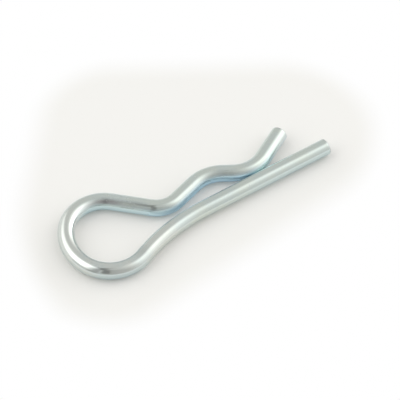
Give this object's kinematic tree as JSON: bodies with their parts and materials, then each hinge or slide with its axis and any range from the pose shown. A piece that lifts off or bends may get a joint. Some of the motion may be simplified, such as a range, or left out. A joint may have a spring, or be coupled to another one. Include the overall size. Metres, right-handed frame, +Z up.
{
  "type": "hitch r clip",
  "caption": "Spring wire R clip with a round pull loop, a straight leg that goes through a pin's cross hole and a waved leg that grips round the pin, bright zinc plated.",
  "frame": {"origin": "on the floor under the middle of the clip's outline, as it lies flat", "axes": "+X along the straight leg towards the free ends, +Y across the clip towards the waved leg, +Z up"},
  "size_m": [0.0825, 0.0296, 0.0048],
  "materials": {
    "zinc_wire": "bright zinc plating with a faint blue tint over drawn spring wire"
  },
  "bodies": {
    "root": {"clip_wire": "zinc_wire"}
  },
  "joints": []
}
